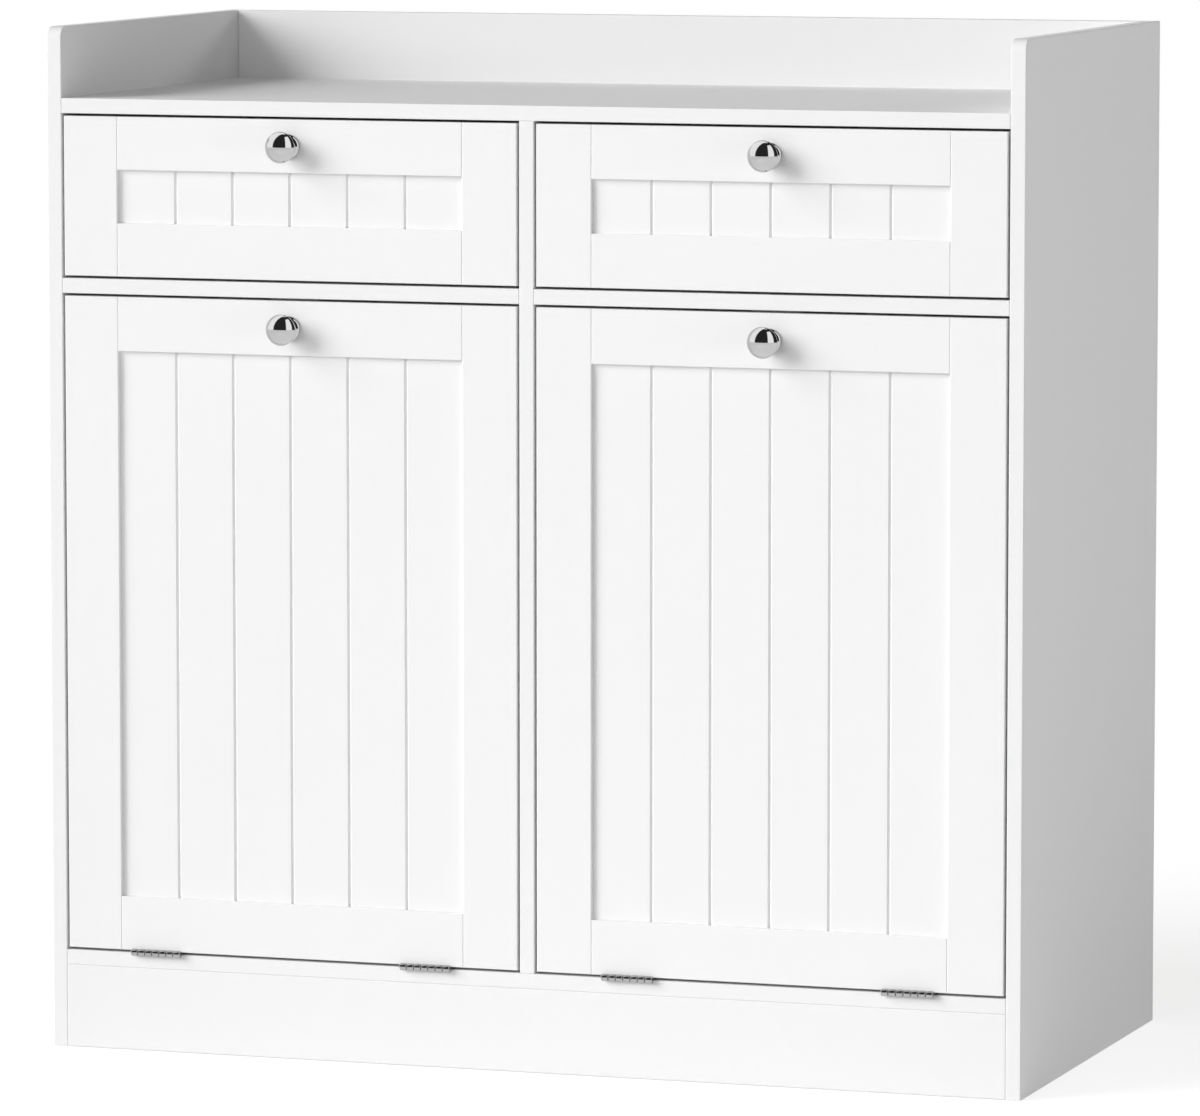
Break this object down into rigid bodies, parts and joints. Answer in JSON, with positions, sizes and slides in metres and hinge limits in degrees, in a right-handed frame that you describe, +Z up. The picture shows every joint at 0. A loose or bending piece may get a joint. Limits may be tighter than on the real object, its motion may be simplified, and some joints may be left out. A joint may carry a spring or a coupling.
{
  "type": "laundry hamper cabinet",
  "caption": "White free-standing laundry cabinet with small drawers over tilt-out hamper doors, framed bead-panel fronts, round chrome knobs and a low gallery round the top.",
  "frame": {"origin": "on the floor under the middle of the object's box, knobs included", "axes": "+Z up, the front faces -Y, +X to the right seen from the front"},
  "size_m": [0.8, 0.424, 0.812],
  "materials": {
    "painted_board": "satin white paint",
    "painted_front": "satin white paint",
    "drawer_board": "white melamine",
    "hamper_board": "white paint",
    "hardboard": "bare hardboard",
    "chrome": "polished",
    "hinge_steel": "nickel plated",
    "zinc_steel": "zinc plated",
    "nylon": "moulded",
    "catch_plastic": "moulded",
    "canvas": "unbleached cotton canvas"
  },
  "bodies": {
    "cabinet": {"left_side_panel": "painted_board", "right_side_panel": "painted_board", "top_panel": "painted_board", "back_guard": "painted_board", "centre_divider": "painted_board", "left_mid_shelf": "painted_board", "right_mid_shelf": "painted_board", "bottom_panel": "painted_board", "front_plinth": "painted_board", "rear_plinth": "painted_board", "left_back_panel": "hardboard", "right_back_panel": "hardboard", "left_drawer_runners": "nylon", "right_drawer_runners": "nylon", "hinge_base_leaves": "hinge_steel", "hinge_pins": "hinge_steel", "tilt_stop_pins": "zinc_steel", "magnetic_catches": "catch_plastic"},
    "left_drawer": {"left_drawer_stiles": "painted_front", "left_drawer_rails": "painted_front", "left_drawer_bead_panel": "painted_front", "left_drawer_knob": "chrome", "left_drawer_knob_screw": "zinc_steel", "left_drawer_box_sides": "drawer_board", "left_drawer_box_back": "drawer_board", "left_drawer_box_bottom": "hardboard"},
    "left_door": {"left_door_stiles": "painted_front", "left_door_rails": "painted_front", "left_door_bead_panel": "painted_front", "left_door_knob": "chrome", "left_door_knob_screw": "zinc_steel", "left_door_hinge_leaves": "hinge_steel", "left_door_strike_plate": "zinc_steel", "left_hamper_side_boards": "hamper_board", "left_hamper_front_rail": "hamper_board", "left_hamper_rear_rail": "hamper_board", "left_hamper_base_slats": "hamper_board", "left_hamper_bag": "canvas"},
    "right_drawer": {"right_drawer_stiles": "painted_front", "right_drawer_rails": "painted_front", "right_drawer_bead_panel": "painted_front", "right_drawer_knob": "chrome", "right_drawer_knob_screw": "zinc_steel", "right_drawer_box_sides": "drawer_board", "right_drawer_box_back": "drawer_board", "right_drawer_box_bottom": "hardboard"},
    "right_door": {"right_door_stiles": "painted_front", "right_door_rails": "painted_front", "right_door_bead_panel": "painted_front", "right_door_knob": "chrome", "right_door_knob_screw": "zinc_steel", "right_door_hinge_leaves": "hinge_steel", "right_door_strike_plate": "zinc_steel", "right_hamper_side_boards": "hamper_board", "right_hamper_front_rail": "hamper_board", "right_hamper_rear_rail": "hamper_board", "right_hamper_base_slats": "hamper_board", "right_hamper_bag": "canvas"}
  },
  "joints": [
    {"name": "left_drawer_slide", "type": "slide", "parent": "cabinet", "child": "left_drawer", "axis": [0, -1, 0], "range_m": [0, 0.24]},
    {"name": "left_door_tilt", "type": "hinge", "parent": "cabinet", "child": "left_door", "pos_m": [-0.197, -0.1912, 0.079], "axis": [1, 0, 0], "range_deg": [0, 35]},
    {"name": "right_drawer_slide", "type": "slide", "parent": "cabinet", "child": "right_drawer", "axis": [0, -1, 0], "range_m": [0, 0.24]},
    {"name": "right_door_tilt", "type": "hinge", "parent": "cabinet", "child": "right_door", "pos_m": [0.197, -0.1912, 0.079], "axis": [1, 0, 0], "range_deg": [0, 35]}
  ]
}
